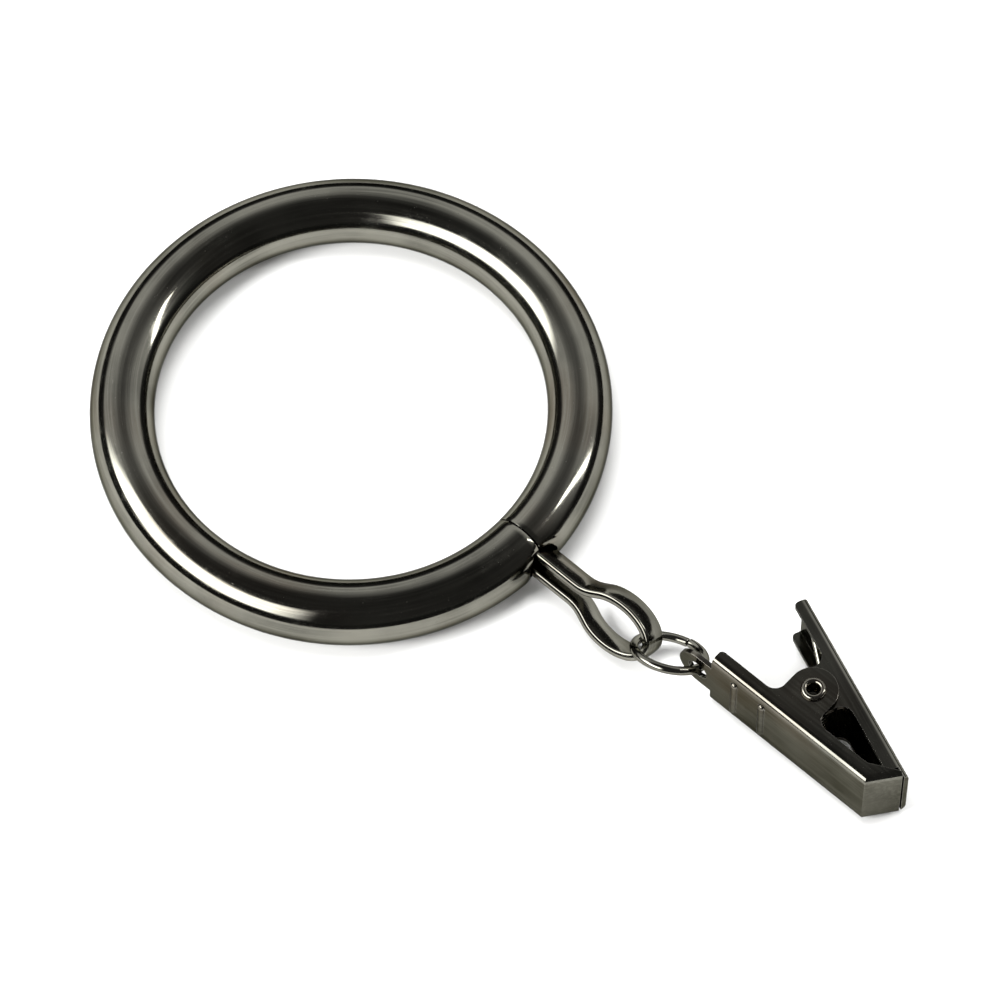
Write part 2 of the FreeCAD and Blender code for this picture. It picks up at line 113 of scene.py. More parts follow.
# The nodes of a material or of the world.
class Finish:
    def __init__(self, owner):
        owner.use_nodes = True
        self.owner = owner
        self.tree = owner.node_tree

    # Adds a node: its settings first, then the values or links of its sockets.
    def node(self, kind, settings=None, inputs=None, output=0):
        node = self.tree.nodes.new(kind)
        for name, value in (settings or {}).items():
            setattr(node, name, value)
        for name, value in (inputs or {}).items():
            if isinstance(value, Flow):
                self.tree.links.new(value.socket, node.inputs[name])
            else:
                node.inputs[name].default_value = value
        return Flow(self, node.outputs[output])

    def maths(self, operation, *values):
        return self.node("ShaderNodeMath", {"operation": operation}, dict(enumerate(values)))

    def split(self, vector):
        parts = self.node("ShaderNodeSeparateXYZ", {}, {0: vector}).socket.node
        return [Flow(self, socket) for socket in parts.outputs]

    def join(self, across, along, up):
        return self.node("ShaderNodeCombineXYZ", {}, {0: across, 1: along, 2: up})

    def stretch(self, vector, scales):
        return self.node("ShaderNodeVectorMath", {"operation": "MULTIPLY"}, {0: vector, 1: scales})

    # Takes a value from one range to 0..1, smoothly and clamped.
    def mask(self, value, low, high):
        return self.node("ShaderNodeMapRange", {"interpolation_type": "SMOOTHSTEP"},
                         {0: value, 1: low, 2: high, 3: 0.0, 4: 1.0})

    def blend(self, share, first, second):
        return self.node("ShaderNodeMix", {"data_type": "RGBA"}, {0: share, 6: first, 7: second}, 2)

    # Noise over a vector, with so many waves per unit in each of its three directions.
    def pattern(self, vector, mark):
        return self.node("ShaderNodeTexNoise", {},
                         {"Vector": self.stretch(vector, mark["waves"]), "Scale": 1.0,
                          "Detail": mark["detail"], "Roughness": mark["roughness"]})

    # Where a pattern lies above its two levels, with a soft edge between them.
    def patches(self, vector, mark):
        return self.mask(self.pattern(vector, mark), *mark["levels"])

    # The shaded point in the piece's own frame, in metres.
    def place(self):
        return self.node("ShaderNodeTexCoord", output=3)


# Marks in the plate, in waves per millimetre: along and across the grain for lines, streaks and
# scratches, in X, Y and Z for the others.
plateMarks = {
    "clouds": {"waves": (1 / 7,) * 3, "detail": 3.0, "roughness": 0.5, "levels": (0.3, 0.72)},
    "tint": {"waves": (0.11, 0.07, 0.09), "detail": 1.0, "roughness": 0.5, "levels": (0.52, 0.7)},
    "lines": {"waves": (0.22, 9.0, 9.0), "detail": 3.0, "roughness": 0.62, "levels": (0.55, 0.7)},
    "streaks": {"waves": (0.07, 3.2, 3.2), "detail": 2.0, "roughness": 0.6, "levels": (0.42, 0.66)},
    "scratches": {"waves": (0.5, 2.3, 2.3), "detail": 1.0, "roughness": 0.5, "levels": (0.0, 0.006)},
    "smudges": {"waves": (1 / 2.6,) * 3, "detail": 4.0, "roughness": 0.65, "levels": (0.48, 0.72)},
    "specks": {"waves": (5.0,) * 3, "detail": 1.0, "roughness": 0.5, "levels": (0.7, 0.78)},
    "peel": {"waves": (0.55,) * 3, "detail": 1.0, "roughness": 0.5},
}
# How far each mark changes the plate: its share of another colour, the roughness that it adds, and
# its depth in micrometres.
nickelLook = {
    "dark": (0.098, 0.096, 0.082),       # thick plate
    "light": (0.172, 0.168, 0.143),      # thin plate
    "brown": (0.135, 0.113, 0.088),      # heat tint
    "worn": (0.42, 0.41, 0.38),          # bright nickel that shows at rubbed edges
    # colour of the real dark specks and of the painted shade in creases
    "grimeAndShade": (0.03, 0.028, 0.024),
    "edgeTint": 0.3,                     # how much the plate brightens at a glancing angle
    "polish": 0.075,                     # roughness of the clean plate
    "tintShare": 0.45,
    "streakShare": 0.5,
    "streakTone": 1.15,                  # against the light plate
    "lineShare": 0.35,
    "lineTone": 1.25,
    # share of the painted crevice shade
    "creviceShadeShare": 0.75,
    "speckShare": 0.25,
    "smudgeHaze": 0.08,
    "streakHaze": 0.04,
    "lineHaze": 0.048,
    "speckAndCreviceHaze": 0.16,
    "peelDepth": 0.35,
    "lineDepth": 0.34,
    "streakDepth": 3.6,
    "scratchDepth": 0.2,
    "speckDepth": 0.8,
    "wearRadius": 0.16,                  # reach of the rubbing from an edge
    "wearLevels": (0.01, 0.14),          # bend of an edge at which rubbing starts and is full
    "wearEven": 0.35,                    # share of the rubbing that the smudges don't break up
    # painted shade in creases: how near another face of the piece has to be, and the levels at which
    # the darkening starts and is full
    "shadeReach": 0.5,                   # how near another face has to be
    "shadeLevels": (0.35, 0.95),
    "samples": 6,                        # for rubbed edges and the painted crevice shade
}


def colour(rgb, strength=1.0):
    return tuple(part * strength for part in rgb) + (1,)


# Polished black nickel plate. grain takes the finish and its point and gives a vector whose first
# part runs along the polishing lines, in millimetres.
def blackNickel(name, grain, strength=1.0, polish=0.0, wear=1.0):
    look = nickelLook
    finish = Finish(bpy.data.materials.new(name))
    shader = finish.tree.nodes["Principled BSDF"]
    point = finish.stretch(finish.place(), (1 / mm,) * 3)
    along = grain(finish, point)
    clouds = finish.patches(point, plateMarks["clouds"])
    tint = finish.patches(point, plateMarks["tint"])
    smudges = finish.patches(point, plateMarks["smudges"])
    specks = finish.patches(point, plateMarks["specks"])
    fine = finish.pattern(along, plateMarks["lines"])
    lines = finish.mask(fine, *plateMarks["lines"]["levels"])
    drawn = finish.pattern(along, plateMarks["streaks"])
    streaks = finish.mask(drawn, *plateMarks["streaks"]["levels"])
    contour = finish.maths("ABSOLUTE", finish.pattern(along, plateMarks["scratches"]) - 0.5)
    scratches = 1 - finish.mask(contour, *plateMarks["scratches"]["levels"])

    rounded = finish.node("ShaderNodeBevel", {"samples": look["samples"]},
                          {"Radius": look["wearRadius"] * mm})
    normal = finish.node("ShaderNodeNewGeometry", output=1)
    bend = finish.node("ShaderNodeVectorMath", {"operation": "DOT_PRODUCT"}, {0: rounded, 1: normal}, 1)
    rubbed = finish.mask(1 - bend, *look["wearLevels"])
    rubbed = rubbed * (look["wearEven"] + (1 - look["wearEven"]) * smudges) * wear
    # Painted shade: the plate is darkened where the piece's own faces come near, in creases and
    # hollows.
    clear = finish.node("ShaderNodeAmbientOcclusion", {"samples": look["samples"], "only_local": True},
                        {"Distance": look["shadeReach"] * mm}, 1)
    creviceShade = finish.mask(1 - clear, *look["shadeLevels"])

    streakColour = colour(look["light"], strength * look["streakTone"])
    lineColour = colour(look["light"], strength * look["lineTone"])
    plate = finish.blend(clouds, colour(look["dark"], strength), colour(look["light"], strength))
    plate = finish.blend(tint * look["tintShare"], plate, colour(look["brown"], strength))
    plate = finish.blend(streaks * look["streakShare"], plate, streakColour)
    plate = finish.blend((lines + scratches) * look["lineShare"], plate, lineColour)
    plate = finish.blend(rubbed, plate, colour(look["worn"]))
    # Real dark specks, together with the painted shade in the creases.
    soiledAndShaded = creviceShade * look["creviceShadeShare"] + specks * look["speckShare"]
    plate = finish.blend(soiledAndShaded, plate, colour(look["grimeAndShade"]))

    haze = smudges * look["smudgeHaze"] + streaks * look["streakHaze"] + lines * look["lineHaze"]
    rough = look["polish"] + polish + haze + (specks + creviceShade) * look["speckAndCreviceHaze"]
    peel = finish.pattern(point, plateMarks["peel"])
    height = peel * look["peelDepth"] + fine * look["lineDepth"] + drawn * look["streakDepth"]
    height = height - scratches * look["scratchDepth"] - specks * look["speckDepth"]
    bump = finish.node("ShaderNodeBump", {}, {"Strength": 1.0, "Distance": micron, "Height": height})
    for socket, flow in (("Base Color", plate), ("Roughness", rough), ("Normal", bump)):
        finish.tree.links.new(flow.socket, shader.inputs[socket])
    shader.inputs["Metallic"].default_value = 1.0
    shader.inputs["Specular Tint"].default_value = colour((look["edgeTint"],) * 3)
    return finish.owner


# Grain along the ring's tube: the point unrolled round the ring, from one side of the seam to the
# other.
def tubeGrain(finish, point):
    size = boxSize("ring")
    radius = (size.x - size.z) / 2
    across, along, up = finish.split(point)
    reach = (across * across + along * along) ** 0.5
    turn = finish.maths("ARCTAN2", across, along)
    return finish.join(turn * radius, reach - radius, up)


# Grain along a wire, strip or turned piece, as its mesh was laid down.
def sweptGrain(finish, point):
    return finish.node("ShaderNodeAttribute", {"attribute_name": "grain"}, output=1)


# Grain along a jaw, which lies at some angle to the Y axis.
def sheetGrain(degrees):
    def grain(finish, point):
        return finish.node("ShaderNodeVectorRotate", {"rotation_type": "Z_AXIS"},
                           {"Vector": point, "Angle": math.radians(90 + degrees)})
    return grain


# Makes an object of a mesh in metres, rides it on its body and lets it stand for CAD nodes.
def placePiece(name, mesh, material, body, nodes=(), sharpDegrees=35):
    piece = bpy.data.objects.new(name, mesh)
    bpy.context.scene.collection.objects.link(piece)
    mesh.materials.clear()
    mesh.materials.append(material)
    mesh.shade_smooth()
    mesh.set_sharp_from_angle(angle=math.radians(sharpDegrees))
    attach(piece, body)
    if nodes:
        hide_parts(*nodes)
    print(f"{name} made, {len(mesh.polygons)} faces")
    return piece


def meshFrom(name, shape):
    mesh = bpy.data.meshes.new(name)
    shape.to_mesh(mesh)
    shape.free()
    return mesh


# A skin of quads over rows of points in millimetres, each row a closed loop round the piece.
# grains gives a vector for each point: the distance along the piece and the place in its section.
def skin(name, rows, grains=None, closed=False):
    shape = bmesh.new()
    layer = shape.verts.layers.float_vector.new("grain")
    grid = []
    for number, row in enumerate(rows):
        line = [shape.verts.new(point * mm) for point in row]
        if grains:
            for vertex, grain in zip(line, grains[number]):
                vertex[layer] = grain
        grid.append(line)
    pairs = list(zip(grid, grid[1:]))
    if closed:
        pairs.append((grid[-1], grid[0]))
    else:
        shape.faces.new(grid[0])
        shape.faces.new(grid[-1])
    for first, second in pairs:
        count = len(first)
        for number in range(count):
            after = (number + 1) % count
            shape.faces.new((first[number], first[after], second[after], second[number]))
    bmesh.ops.recalc_face_normals(shape, faces=shape.faces)
    return meshFrom(name, shape)


# Carries sections along a path: for each point, pairs of distances along its side and lift
# directions. The lift is carried without a twist unless it is fixed.
def sweep(name, path, sections, fixedLift=None):
    rows = []
    grains = []
    travelled = 0.0
    lift = fixedLift
    for number, point in enumerate(path):
        before = path[max(number - 1, 0)]
        after = path[min(number + 1, len(path) - 1)]
        forward = (after - before).normalized()
        travelled += (point - before).length
        if lift is None:
            lift = forward.orthogonal().normalized()
        if fixedLift is None:
            lift = (lift - forward * lift.dot(forward)).normalized()
        side = forward.cross(lift)
        rows.append([point + side * across + lift * up for across, up in sections[number]])
        grains.append([Vector((travelled, across, up)) for across, up in sections[number]])
    return skin(name, rows, grains)


def circle(radius, count):
    angles = [2 * math.pi * number / count for number in range(count)]
    return [(radius * math.cos(angle), radius * math.sin(angle)) for angle in angles]


# Round wire along a path, its two cut ends a little rounded off.
def wire(name, path, radius, sides, rounding):
    partWay = 0.35 * rounding            # a loop between the cut face and the full wire

    def edged(end, inside):
        way = (inside - end).normalized()
        return [end, end + way * partWay, end + way * rounding]

    middle = list(path[1:-1])
    whole = edged(path[0], path[1]) + middle + list(reversed(edged(path[-1], path[-2])))
    shrink = [radius - rounding, radius - partWay, radius]
    radii = shrink + [radius] * len(middle) + list(reversed(shrink))
    return sweep(name, whole, [circle(value, sides) for value in radii])


# Ring: hollow tube whose two ends meet at -Y, with rounded rims and the eyelet's hole.
ringShape = {
    "wall": 0.6,
    "seamGap": 0.12,
    "rim": 0.1,
    "rimBulge": 0.3,                     # place of the rim's middle point, as a share of the rim
    "holeRadius": 2.0,
    "holeSides": 96,
    "drillReach": 1.6,                   # length of the drill, in radii of the tube
    "pressWidth": 0.8,                   # band round the hole that is pressed in
    "pressDepth": 0.2,
    "steps": 320,
    "innerSteps": 60,
    "sides": 72,
}


def drilled(blank, drill):
    things = [bpy.data.objects.new(mesh.name, mesh) for mesh in (blank, drill)]
    for thing in things:
        bpy.context.scene.collection.objects.link(thing)
    hole = things[0].modifiers.new("swivel_hole", "BOOLEAN")
    hole.operation = "DIFFERENCE"
    hole.solver = "EXACT"
    hole.object = things[1]
    result = things[0].evaluated_get(bpy.context.evaluated_depsgraph_get())
    mesh = bpy.data.meshes.new_from_object(result)
    for thing in things:
        bpy.data.objects.remove(thing)
    return mesh


# Presses the sheet round the hole inwards a little.
def pressRim(mesh, centre):
    look = ringShape
    for vertex in mesh.vertices:
        place = vertex.co / mm
        beyond = math.hypot(place.x, place.z) - look["holeRadius"]
        if place.y < -centre and beyond < look["pressWidth"]:
            axis = Vector((place.x, place.y, 0)).normalized() * centre
            share = 1 - max(beyond, 0) / look["pressWidth"]
            vertex.co -= (place - axis).normalized() * look["pressDepth"] * share ** 2 * mm


# The outside is laid down from one end of the tube to the other, and the bore back again.
def makeRing(material):
    look = ringShape
    size = boxSize("ring")
    tube = size.z / 2
    centre = size.x / 2 - tube
    gap = look["seamGap"] / 2 / centre
    rim = look["rim"]
    bulge = look["rimBulge"]
    edge = rim / centre
    whole = 2 * math.pi - 2 * gap
    rows = [(gap, tube - rim), (gap + edge * bulge, tube - rim * bulge)]
    for number in range(look["steps"] + 1):
        rows.append((gap + edge + (whole - 2 * edge) * number / look["steps"], tube))
    rows += [(gap + whole - edge * bulge, tube - rim * bulge), (gap + whole, tube - rim)]
    for number in range(look["innerSteps"] + 1):
        rows.append((gap + whole * (1 - number / look["innerSteps"]), tube - look["wall"]))

    def loop(turn, radius):
        out = Vector((math.sin(turn), -math.cos(turn), 0))
        section = circle(radius, look["sides"])
        return [out * (centre + across) + Vector((0, 0, up)) for across, up in section]

    blank = skin("ring_tube", [loop(turn, radius) for turn, radius in rows], closed=True)
    shape = bmesh.new()
    hole = look["holeRadius"] * mm
    bmesh.ops.create_cone(shape, cap_ends=True, segments=look["holeSides"], radius1=hole, radius2=hole,
                          depth=look["drillReach"] * tube * mm)
    bmesh.ops.rotate(shape, verts=shape.verts, matrix=Matrix.Rotation(math.pi / 2, 3, "X"))
    bmesh.ops.translate(shape, verts=shape.verts, vec=(0, -(centre + tube) * mm, 0))
    mesh = drilled(blank, meshFrom("drill", shape))
    pressRim(mesh, centre)
    placePiece("ring_tube", mesh, material, "ring", ["ring"])


# Eyelet: strip with a crowned outside, bent to a keyhole and turned to its rest angle.
eyeletShape = {
    "stripWidth": 2.8,
    "thickness": 0.8,
    "crown": 0.1,
    "cornerRadius": 0.24,
    "neckWidth": 2.5,
    "neckEnd": 29.3,
    "eyeWidth": 5.6,
    "eyeLength": 8.8,
    "eyeCentre": 34.8,
    "joinDegrees": 46,                   # where the neck's curve meets the eye
    "joinPull": 0.42,                    # handles of that curve, as a share of its reach
    "footAlong": 22.8,
    "footSpan": 4.3,
    "footWidth": 1.6,
    "footBend": 0.45,
    "footTaper": 1.2,                    # length over which the foot widens to the strip
    "footStep": 0.3,
    "footSteps": 3,
    "bendSteps": 6,
    "legSteps": 10,
    "joinSteps": 16,
    "eyeSteps": 32,
    "faceSteps": 10,
    "cornerSteps": 5,
    "sharpDegrees": 50,
}


# The strip's middle line, from one foot down a leg, round the eye and back up.
def keyholePath():
    look = eyeletShape
    half = look["thickness"] / 2
    leg = look["neckWidth"] / 2 - half
    wide = look["eyeWidth"] / 2 - half
    long = look["eyeLength"] / 2 - half
    join = math.radians(look["joinDegrees"])
    bend = look["footBend"]
    foot = look["footAlong"]

    def onEye(angle):
        return Vector((wide * math.sin(angle), -look["eyeCentre"] + long * math.cos(angle), 0))

    side = []
    for step in range(look["footSteps"]):
        side.append(Vector((look["footSpan"] / 2 - look["footStep"] * step, -foot, 0)))
    for step in range(1, look["bendSteps"] + 1):
        angle = math.pi / 2 * step / look["bendSteps"]
        inward = bend * (1 - math.sin(angle))
        down = bend * (1 - math.cos(angle))
        side.append(Vector((leg + inward, -foot - down, 0)))
    start = Vector((leg, -look["neckEnd"], 0))
    legTop = side[-1]
    side += [legTop.lerp(start, step / look["legSteps"]) for step in range(1, look["legSteps"])]
    meet = onEye(join)
    way = Vector((wide * math.cos(join), -long * math.sin(join), 0)).normalized()
    pull = (meet - start).length * look["joinPull"]
    handles = (start, start - Vector((0, pull, 0)), meet - way * pull, meet)
    for step in range(look["joinSteps"] + 1):
        share = step / look["joinSteps"]
        rest = 1 - share
        weights = (rest ** 3, 3 * share * rest ** 2, 3 * share ** 2 * rest, share ** 3)
        side.append(sum((handle * weight for handle, weight in zip(handles, weights)), Vector()))
    for step in range(1, look["eyeSteps"] + 1):
        side.append(onEye(join + (math.pi - join) * step / look["eyeSteps"]))
    return side + [Vector((-point.x, point.y, 0)) for point in reversed(side[:-1])]


# Pairs of distances into the loop and across the strip, round its crowned section.
def stripSection(width, crown):
    look = eyeletShape
    corner = look["cornerRadius"]
    half = width / 2 - corner
    deep = look["thickness"] / 2 - corner
    pairs = []
    for step in range(look["faceSteps"] + 1):
        across = -half + 2 * half * step / look["faceSteps"]
        pairs.append((-look["thickness"] / 2 - crown * (1 - (across / half) ** 2), across))
    corners = ((-deep, half, 180), (deep, half, 90), (deep, -half, 0), (-deep, -half, -90))
    for inward, across, start in corners:
        for step in range(look["cornerSteps"]):
            angle = math.radians(start - 90 * (step + 0.5) / look["cornerSteps"])
            pairs.append((inward + corner * math.cos(angle), across + corner * math.sin(angle)))
    return pairs


def makeEyelet(material):
    look = eyeletShape
    path = keyholePath()
    sections = []
    for point in path:
        share = min(max((-point.y - look["footAlong"]) / look["footTaper"], 0), 1)
        width = look["footWidth"] + (look["stripWidth"] - look["footWidth"]) * share
        sections.append(stripSection(width, look["crown"] * share))
    mesh = sweep("eyelet_strip", path, sections, fixedLift=Vector((0, 0, 1)))
    rest = math.atan2(swingAxis.x, swingAxis.z)
    mesh.transform(Matrix.Rotation(rest, 4, "Y"))
    placePiece("eyelet_strip", mesh, material, "eyelet", ["eyelet"], look["sharpDegrees"])


# Jump ring: round wire in the plane of its two pivots and the swing axis, its cut ends side by
# side and a little out of line.
linkShape = {
    "wireDiameter": 0.9,
    "gap": 0.1,
    "offset": 0.07,
    "steps": 140,
    "sides": 28,
    "rounding": 0.12,
}


def makeLink(material):
    look = linkShape
    centre = (eyePivot + tabPivot) / 2
    toEye = eyePivot - centre
    radius = toEye.length
    toEye.normalize()
    aside = toEye.cross(swingAxis).normalized()
    gap = look["gap"] / 2 / radius
    path = []
    for number in range(look["steps"] + 1):
        share = number / look["steps"]
        turn = gap + (2 * math.pi - 2 * gap) * share
        spot = toEye * math.sin(turn) - swingAxis * math.cos(turn)
        path.append(centre + spot * radius + aside * look["offset"] * (share - 0.5))
    mesh = wire("jump_ring_wire", path, look["wireDiameter"] / 2, look["sides"], look["rounding"])
    placePiece("jump_ring_wire", mesh, material, "jump_ring", ["jump_ring"])


# Jaws: the folded sheet takes its outline from the frame and gets softened edges. The ribs of the
# tail jaw get domed ends.
jawShape = {
    "leverDegrees": 22,                  # angle between the two tails
    "tailLength": 9.2,
    "edge": 0.07,
    "edgeSteps": 3,
    "edgeDegrees": 40,                   # a fold sharper than this is softened
    "flatDegrees": 0.6,                  # faces that turn less than this are joined
    "sharpDegrees": 30,
    "ribs": 2,
    "ribRadius": 0.4,
    "ribLength": 5.0,
    "ribFromEnd": 2.9,
    "ribSpacing": 3.4,
    "domeSides": (24, 16),
}


def addRibEnds(shape):
    look = jawShape
    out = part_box("tail_jaw")[0].x / mm + look["ribRadius"]
    for number in range(look["ribs"]):
        along = rivetPlace.y + look["tailLength"] - look["ribFromEnd"] - number * look["ribSpacing"]
        for end in (-1, 1):
            place = Vector((out, along, rivetPlace.z + end * look["ribLength"] / 2))
            bmesh.ops.create_uvsphere(shape, u_segments=look["domeSides"][0],
                                      v_segments=look["domeSides"][1], radius=look["ribRadius"] * mm,
                                      matrix=Matrix.Translation(place * mm))


def makeJaw(node, material):
    look = jawShape
    name = f"{node}_sheet"
    shape = bmesh.new()
    shape.from_mesh(frame["nodes"][node].data)
    bmesh.ops.remove_doubles(shape, verts=shape.verts, dist=micron)
    bmesh.ops.dissolve_limit(shape, angle_limit=math.radians(look["flatDegrees"]), verts=shape.verts,
                             edges=shape.edges)
    if node == "tail_jaw":
        addRibEnds(shape)
    jaw = placePiece(name, meshFrom(name, shape), material, node, [node],
                     look["sharpDegrees"])
    bevel = jaw.modifiers.new("edge", "BEVEL")
    bevel.width = look["edge"] * mm
    bevel.segments = look["edgeSteps"]
    bevel.limit_method = "ANGLE"
    bevel.angle_limit = math.radians(look["edgeDegrees"])
    bevel.harden_normals = True


# Rivet: turned profile, domed below and rolled over above round an open bore.
rivetShape = {
    "shank": 1.8,
    "head": 2.5,
    "headHeight": 0.4,
    "earWidth": 8.2,
    "bore": 1.1,
    "boreDepth": 1.6,
    "boreTip": 0.2,
    "axisGap": 0.02,                     # radius of the first and last loops
    "domeSteps": 10,
    "rollSteps": 16,
    "sides": 72,
    "sharpDegrees": 40,
}


def makeRivet(material):
    look = rivetShape
    seat = look["earWidth"] / 2
    shank = look["shank"] / 2
    head = look["head"] / 2
    height = look["headHeight"]
    bore = look["bore"] / 2
    middle = (head + bore) / 2
    bottom = seat - look["boreDepth"]
    profile = [(look["axisGap"], -seat - height)]
    for step in range(1, look["domeSteps"] + 1):
        angle = math.pi / 2 * step / look["domeSteps"]
        profile.append((head * math.sin(angle), -seat - height * math.cos(angle)))
    profile += [(shank, -seat), (shank, seat), (head, seat)]
    for step in range(1, look["rollSteps"]):
        angle = math.pi * step / look["rollSteps"]
        profile.append((middle + (head - middle) * math.cos(angle), seat + height * math.sin(angle)))
    profile += [(bore, seat), (bore, bottom), (look["axisGap"], bottom - look["boreTip"])]
    rows = []
    grains = []
    for radius, up in profile:
        loop = circle(radius, look["sides"])
        step = 2 * math.pi * radius / look["sides"]
        rows.append([rivetPlace + Vector((across, along, up)) for across, along in loop])
        grains.append([Vector((step * number, radius, up)) for number in range(look["sides"])])
    mesh = skin("rivet_turned", rows, grains)
    placePiece("rivet_turned", mesh, material, "tail_jaw", ["pivot_rivet"],
               look["sharpDegrees"])


# Torsion spring: a leg to each plate, tangent to the coil. The lever's leg, with a stretch of coil
# that stays inside the rest, moves with the lever jaw.
springShape = {
    "wire": 0.6,
    "coilDiameter": 2.9,
    "pitch": 0.7,
    "turns": 5,
    "legReach": 6.5,
    "legAcross": 3.285,
    "sharedDegrees": 55,                 # the stretch of coil that goes with the lever's leg
    "sharedSteps": 14,
    "sharedInset": 0.004,                # its radius is smaller by this
    "coilSteps": 240,
    "legSteps": 12,
    "sides": 20,
    "rounding": 0.08,
}


def makeSpring(material):
    look = springShape
    radius = look["coilDiameter"] / 2
    legEnd = math.hypot(look["legAcross"], look["legReach"])
    start = math.atan2(look["legReach"], -look["legAcross"]) + math.acos(radius / legEnd)
    stop = math.pi - start - math.radians(jawShape["leverDegrees"])
    wound = (stop - start) % (2 * math.pi) + 2 * math.pi * look["turns"]
    rise = look["pitch"] / (2 * math.pi)

    def coilPoint(turned):
        angle = start + turned
        up = rise * (turned - wound / 2)
        return rivetPlace + Vector((radius * math.cos(angle), radius * math.sin(angle), up))

    def coilWay(turned):
        angle = start + turned
        return Vector((-radius * math.sin(angle), radius * math.cos(angle), rise)).normalized()

    def leg(point, way):
        step = way * math.sqrt(legEnd ** 2 - radius ** 2) / look["legSteps"]
        return [point + step * number for number in range(1, look["legSteps"] + 1)]

    def placeWire(name, path, inset, body, nodes=()):
        mesh = wire(name, path, look["wire"] / 2 - inset, look["sides"], look["rounding"])
        placePiece(name, mesh, material, body, nodes)

    steps = look["coilSteps"]
    coil = [coilPoint(wound * number / steps) for number in range(steps + 1)]
    tailLeg = list(reversed(leg(coil[0], -coilWay(0))))
    placeWire("spring_coil", tailLeg + coil, 0, "tail_jaw", ["torsion_spring"])
    shared = math.radians(look["sharedDegrees"])
    steps = look["sharedSteps"]
    stretch = [coilPoint(wound - shared * (1 - number / steps)) for number in range(steps + 1)]
    leverLeg = leg(coil[-1], coilWay(wound))
    placeWire("spring_lever_leg", stretch + leverLeg, look["sharedInset"], "lever_jaw")


tailGrain = sheetGrain(0)
leverGrain = sheetGrain(jawShape["leverDegrees"])
makeRing(blackNickel("black_nickel_tube", tubeGrain, wear=0.5))
makeEyelet(blackNickel("black_nickel_strip", sweptGrain, polish=0.02))
makeLink(blackNickel("black_nickel_link_wire", sweptGrain, strength=1.15, wear=0.6))
makeJaw("tail_jaw", blackNickel("black_nickel_tail_sheet", tailGrain, strength=0.85, polish=0.02))
makeJaw("lever_jaw", blackNickel("black_nickel_lever_sheet", leverGrain, strength=0.85, polish=0.02))
makeRivet(blackNickel("black_nickel_rivet", sweptGrain, strength=1.1, polish=0.03))
makeSpring(blackNickel("spring_wire", sweptGrain, strength=2.4, polish=0.06, wear=0.4))

# Camera: it looks down at about 62 degrees, with the clip to the lower right.
cameraLook = {
    "azimuth": -48,
    "elevation": 62,
    "distance": 700,
    "lens": 262,
    "aim": (1.6, -18.0, 1.5),
    "clipStart": 10,
}


# The way to a compass direction, with azimuth 0 towards -Y.
def compass(azimuth, elevation):
    turn = math.radians(azimuth)
    rise = math.radians(elevation)
    return Vector((math.sin(turn) * math.cos(rise), -math.cos(turn) * math.cos(rise), math.sin(rise)))


# Stands a camera or lamp off the aim point and turns it there.
def aimed(thing, look):
    bpy.context.scene.collection.objects.link(thing)
    way = compass(look["azimuth"], look["elevation"]) * look["distance"]
    thing.location = (Vector(cameraLook["aim"]) + way) * mm
    thing.rotation_euler = way.to_track_quat("Z", "Y").to_euler()


def makeCamera():
    camera = bpy.data.objects.new("camera", bpy.data.cameras.new("camera"))
    aimed(camera, cameraLook)
    camera.data.lens = cameraLook["lens"]
    camera.data.clip_start = cameraLook["clipStart"] * mm
    bpy.context.scene.camera = camera


# Stage: a white paper floor and a pale world. Around them only the metal sees a low dark wall and
# a tent, bright on the side that faces the camera and dim overhead and behind it, as in a dim room
# with a window.
stageLook = {
    "paper": (0.86, 0.86, 0.85),
    "paperRoughness": 0.9,
    "paperShine": 0.1,
    "floorSize": 1500,
    "worldGrey": 0.42,
    "wallRadius": 470,
    "wallBottom": 6,
    "wallTop": 120,
    "wallSides": 96,
    "wallGlow": 0.035,
    "tentRadius": 520,
    "tentSides": (96, 48),
    "tentDim": 0.075,
    "tentBright": 1.15,
    "tentSide": (-0.35, 0.65),
    "tentBottom": (0.3, 0.42),           # levels as shares of the tent's radius
    "tentTop": (0.66, 0.97),
    "folds": {"waves": (6.0,) * 3, "detail": 2.0, "roughness": 0.5},
    "foldDepth": 0.5,
    "windowAzimuth": -111,
    "windowGlow": 10.0,
    "windowSide": (0.64, 0.84),
    "windowBottom": (0.34, 0.4),
    "windowTop": (0.76, 0.84),
}


def paper():
    material = bpy.data.materials.new("paper")
    material.use_nodes = True
    shader = material.node_tree.nodes["Principled BSDF"]
    shader.inputs["Base Color"].default_value = colour(stageLook["paper"])
    shader.inputs["Roughness"].default_value = stageLook["paperRoughness"]
    shader.inputs["Specular IOR Level"].default_value = stageLook["paperShine"]
    return material


# A cloth that gives its own light at the level that a function of its finish works out.
def glowing(name, level):
    finish = Finish(bpy.data.materials.new(name))
    finish.tree.nodes.clear()
    light = finish.node("ShaderNodeEmission", {},
                        {"Color": colour((1, 1, 1)), "Strength": level(finish)})
    output = finish.tree.nodes.new("ShaderNodeOutputMaterial")
    finish.tree.links.new(light.socket, output.inputs["Surface"])
    return finish.owner


def wallGlow(finish):
    return stageLook["wallGlow"]


def tentGlow(finish):
    look = stageLook
    point = finish.place()
    across, along, up = finish.split(finish.stretch(point, (1 / mm / look["tentRadius"],) * 3))
    inwards = (across * across + along * along + 0.0001) ** -0.5     # kept off zero at the top

    # How far the cloth lies towards an azimuth, from -1 to 1.
    def towards(azimuth):
        way = compass(azimuth, 0)
        return (across * way.x + along * way.y) * inwards

    def between(bottom, top):
        return finish.mask(up, *bottom) * (1 - finish.mask(up, *top))

    side = finish.mask(towards(cameraLook["azimuth"] + 180), *look["tentSide"])
    band = side * between(look["tentBottom"], look["tentTop"])
    folds = 1 - look["foldDepth"] / 2 + look["foldDepth"] * finish.pattern(point, look["folds"])
    pane = finish.mask(towards(look["windowAzimuth"]), *look["windowSide"])
    pane = pane * between(look["windowBottom"], look["windowTop"])
    return (look["tentDim"] + look["tentBright"] * band) * folds + look["windowGlow"] * pane


